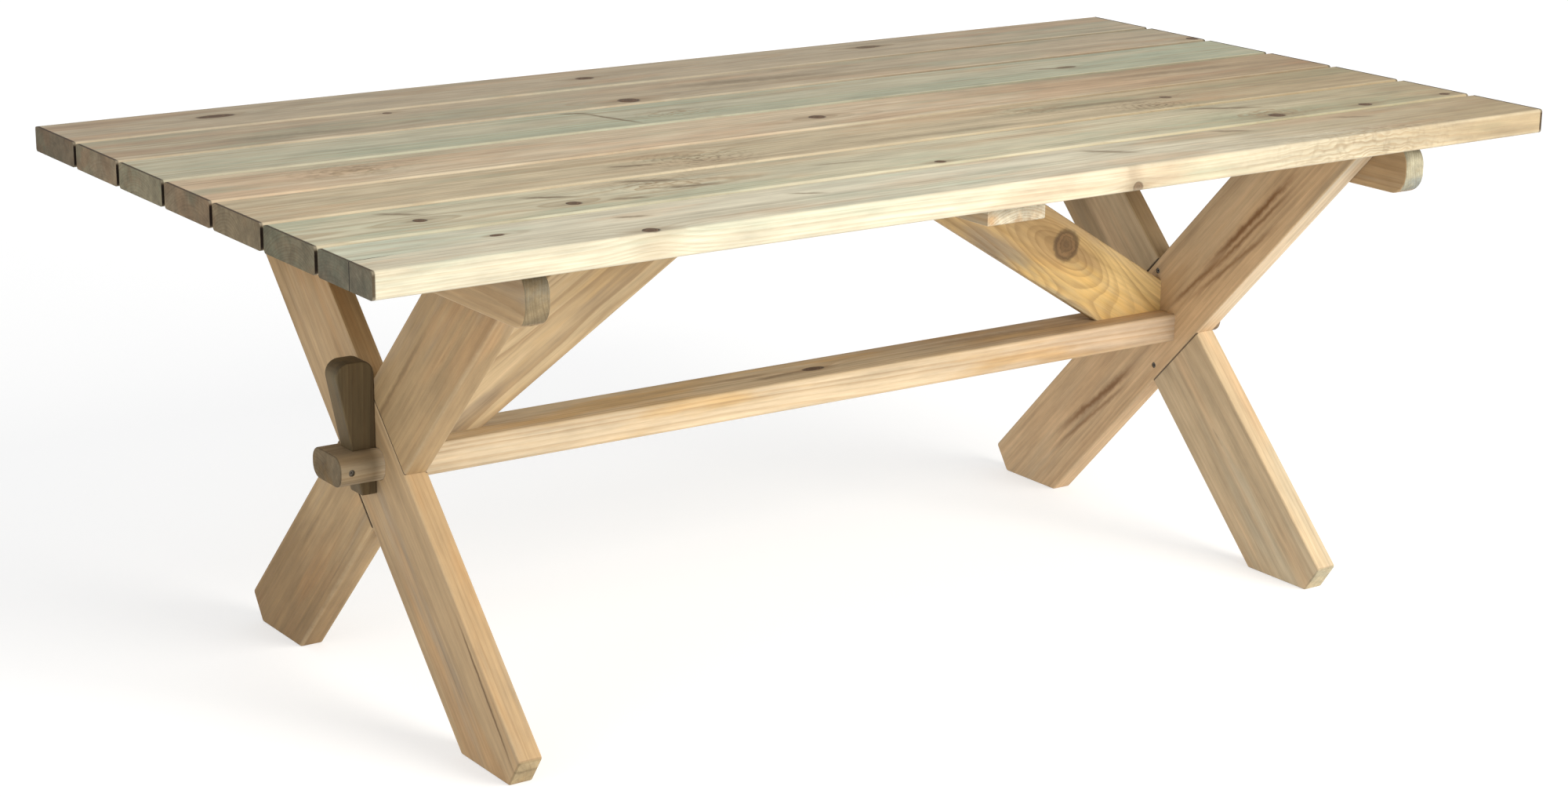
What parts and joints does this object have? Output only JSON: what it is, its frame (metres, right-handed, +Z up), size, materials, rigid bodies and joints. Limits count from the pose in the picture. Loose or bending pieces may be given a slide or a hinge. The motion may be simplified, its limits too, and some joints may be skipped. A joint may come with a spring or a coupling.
{
  "type": "knock-down picnic table",
  "caption": "Rectangular timber garden table with a gapped board top on crossed-leg end frames, tied by a stretcher with through tenons, loose wedge keys and diagonal braces.",
  "frame": {"origin": "on the floor, under the middle of the table top", "axes": "+X along the boards to the right as seen from the front, +Y across the boards towards the back, +Z up"},
  "size_m": [1.912, 1.02, 0.735],
  "materials": {
    "top_pine": "planed, pressure-treated softwood with a pale green-grey cast, bare and dry",
    "frame_pine": "planed softwood, bare, warm tan",
    "key_pine": "planed softwood, bare, rounded by hand",
    "zinc_screw": "dull zinc-plated countersunk wood screws"
  },
  "bodies": {
    "table": {"top_board_1": "top_pine", "top_board_2": "top_pine", "top_board_3": "top_pine", "top_board_4": "top_pine", "top_board_5": "top_pine", "top_board_6": "top_pine", "top_board_7": "top_pine", "end_batten_left": "frame_pine", "end_batten_right": "frame_pine", "middle_batten": "frame_pine", "left_leg_front_foot": "frame_pine", "left_leg_back_foot": "frame_pine", "right_leg_front_foot": "frame_pine", "right_leg_back_foot": "frame_pine", "stretcher": "frame_pine", "brace_left": "frame_pine", "brace_right": "frame_pine", "board_screws_left": "zinc_screw", "board_screws_middle": "zinc_screw", "board_screws_right": "zinc_screw", "frame_screws_left": "zinc_screw", "frame_screws_right": "zinc_screw", "lap_screws_left": "zinc_screw", "lap_screws_right": "zinc_screw", "tenon_screw_left": "zinc_screw", "tenon_screw_right": "zinc_screw", "brace_foot_screws_left": "zinc_screw", "brace_foot_screws_right": "zinc_screw", "brace_top_screws_left": "zinc_screw", "brace_top_screws_right": "zinc_screw"},
    "key_left": {"wedge_key_left": "key_pine"},
    "key_right": {"wedge_key_right": "key_pine"}
  },
  "joints": [
    {"name": "key_left_lift", "type": "slide", "parent": "table", "child": "key_left", "axis": [0, 0, 1], "range_m": [0, 0.12]},
    {"name": "key_right_lift", "type": "slide", "parent": "table", "child": "key_right", "axis": [0, 0, 1], "range_m": [0, 0.12]}
  ]
}
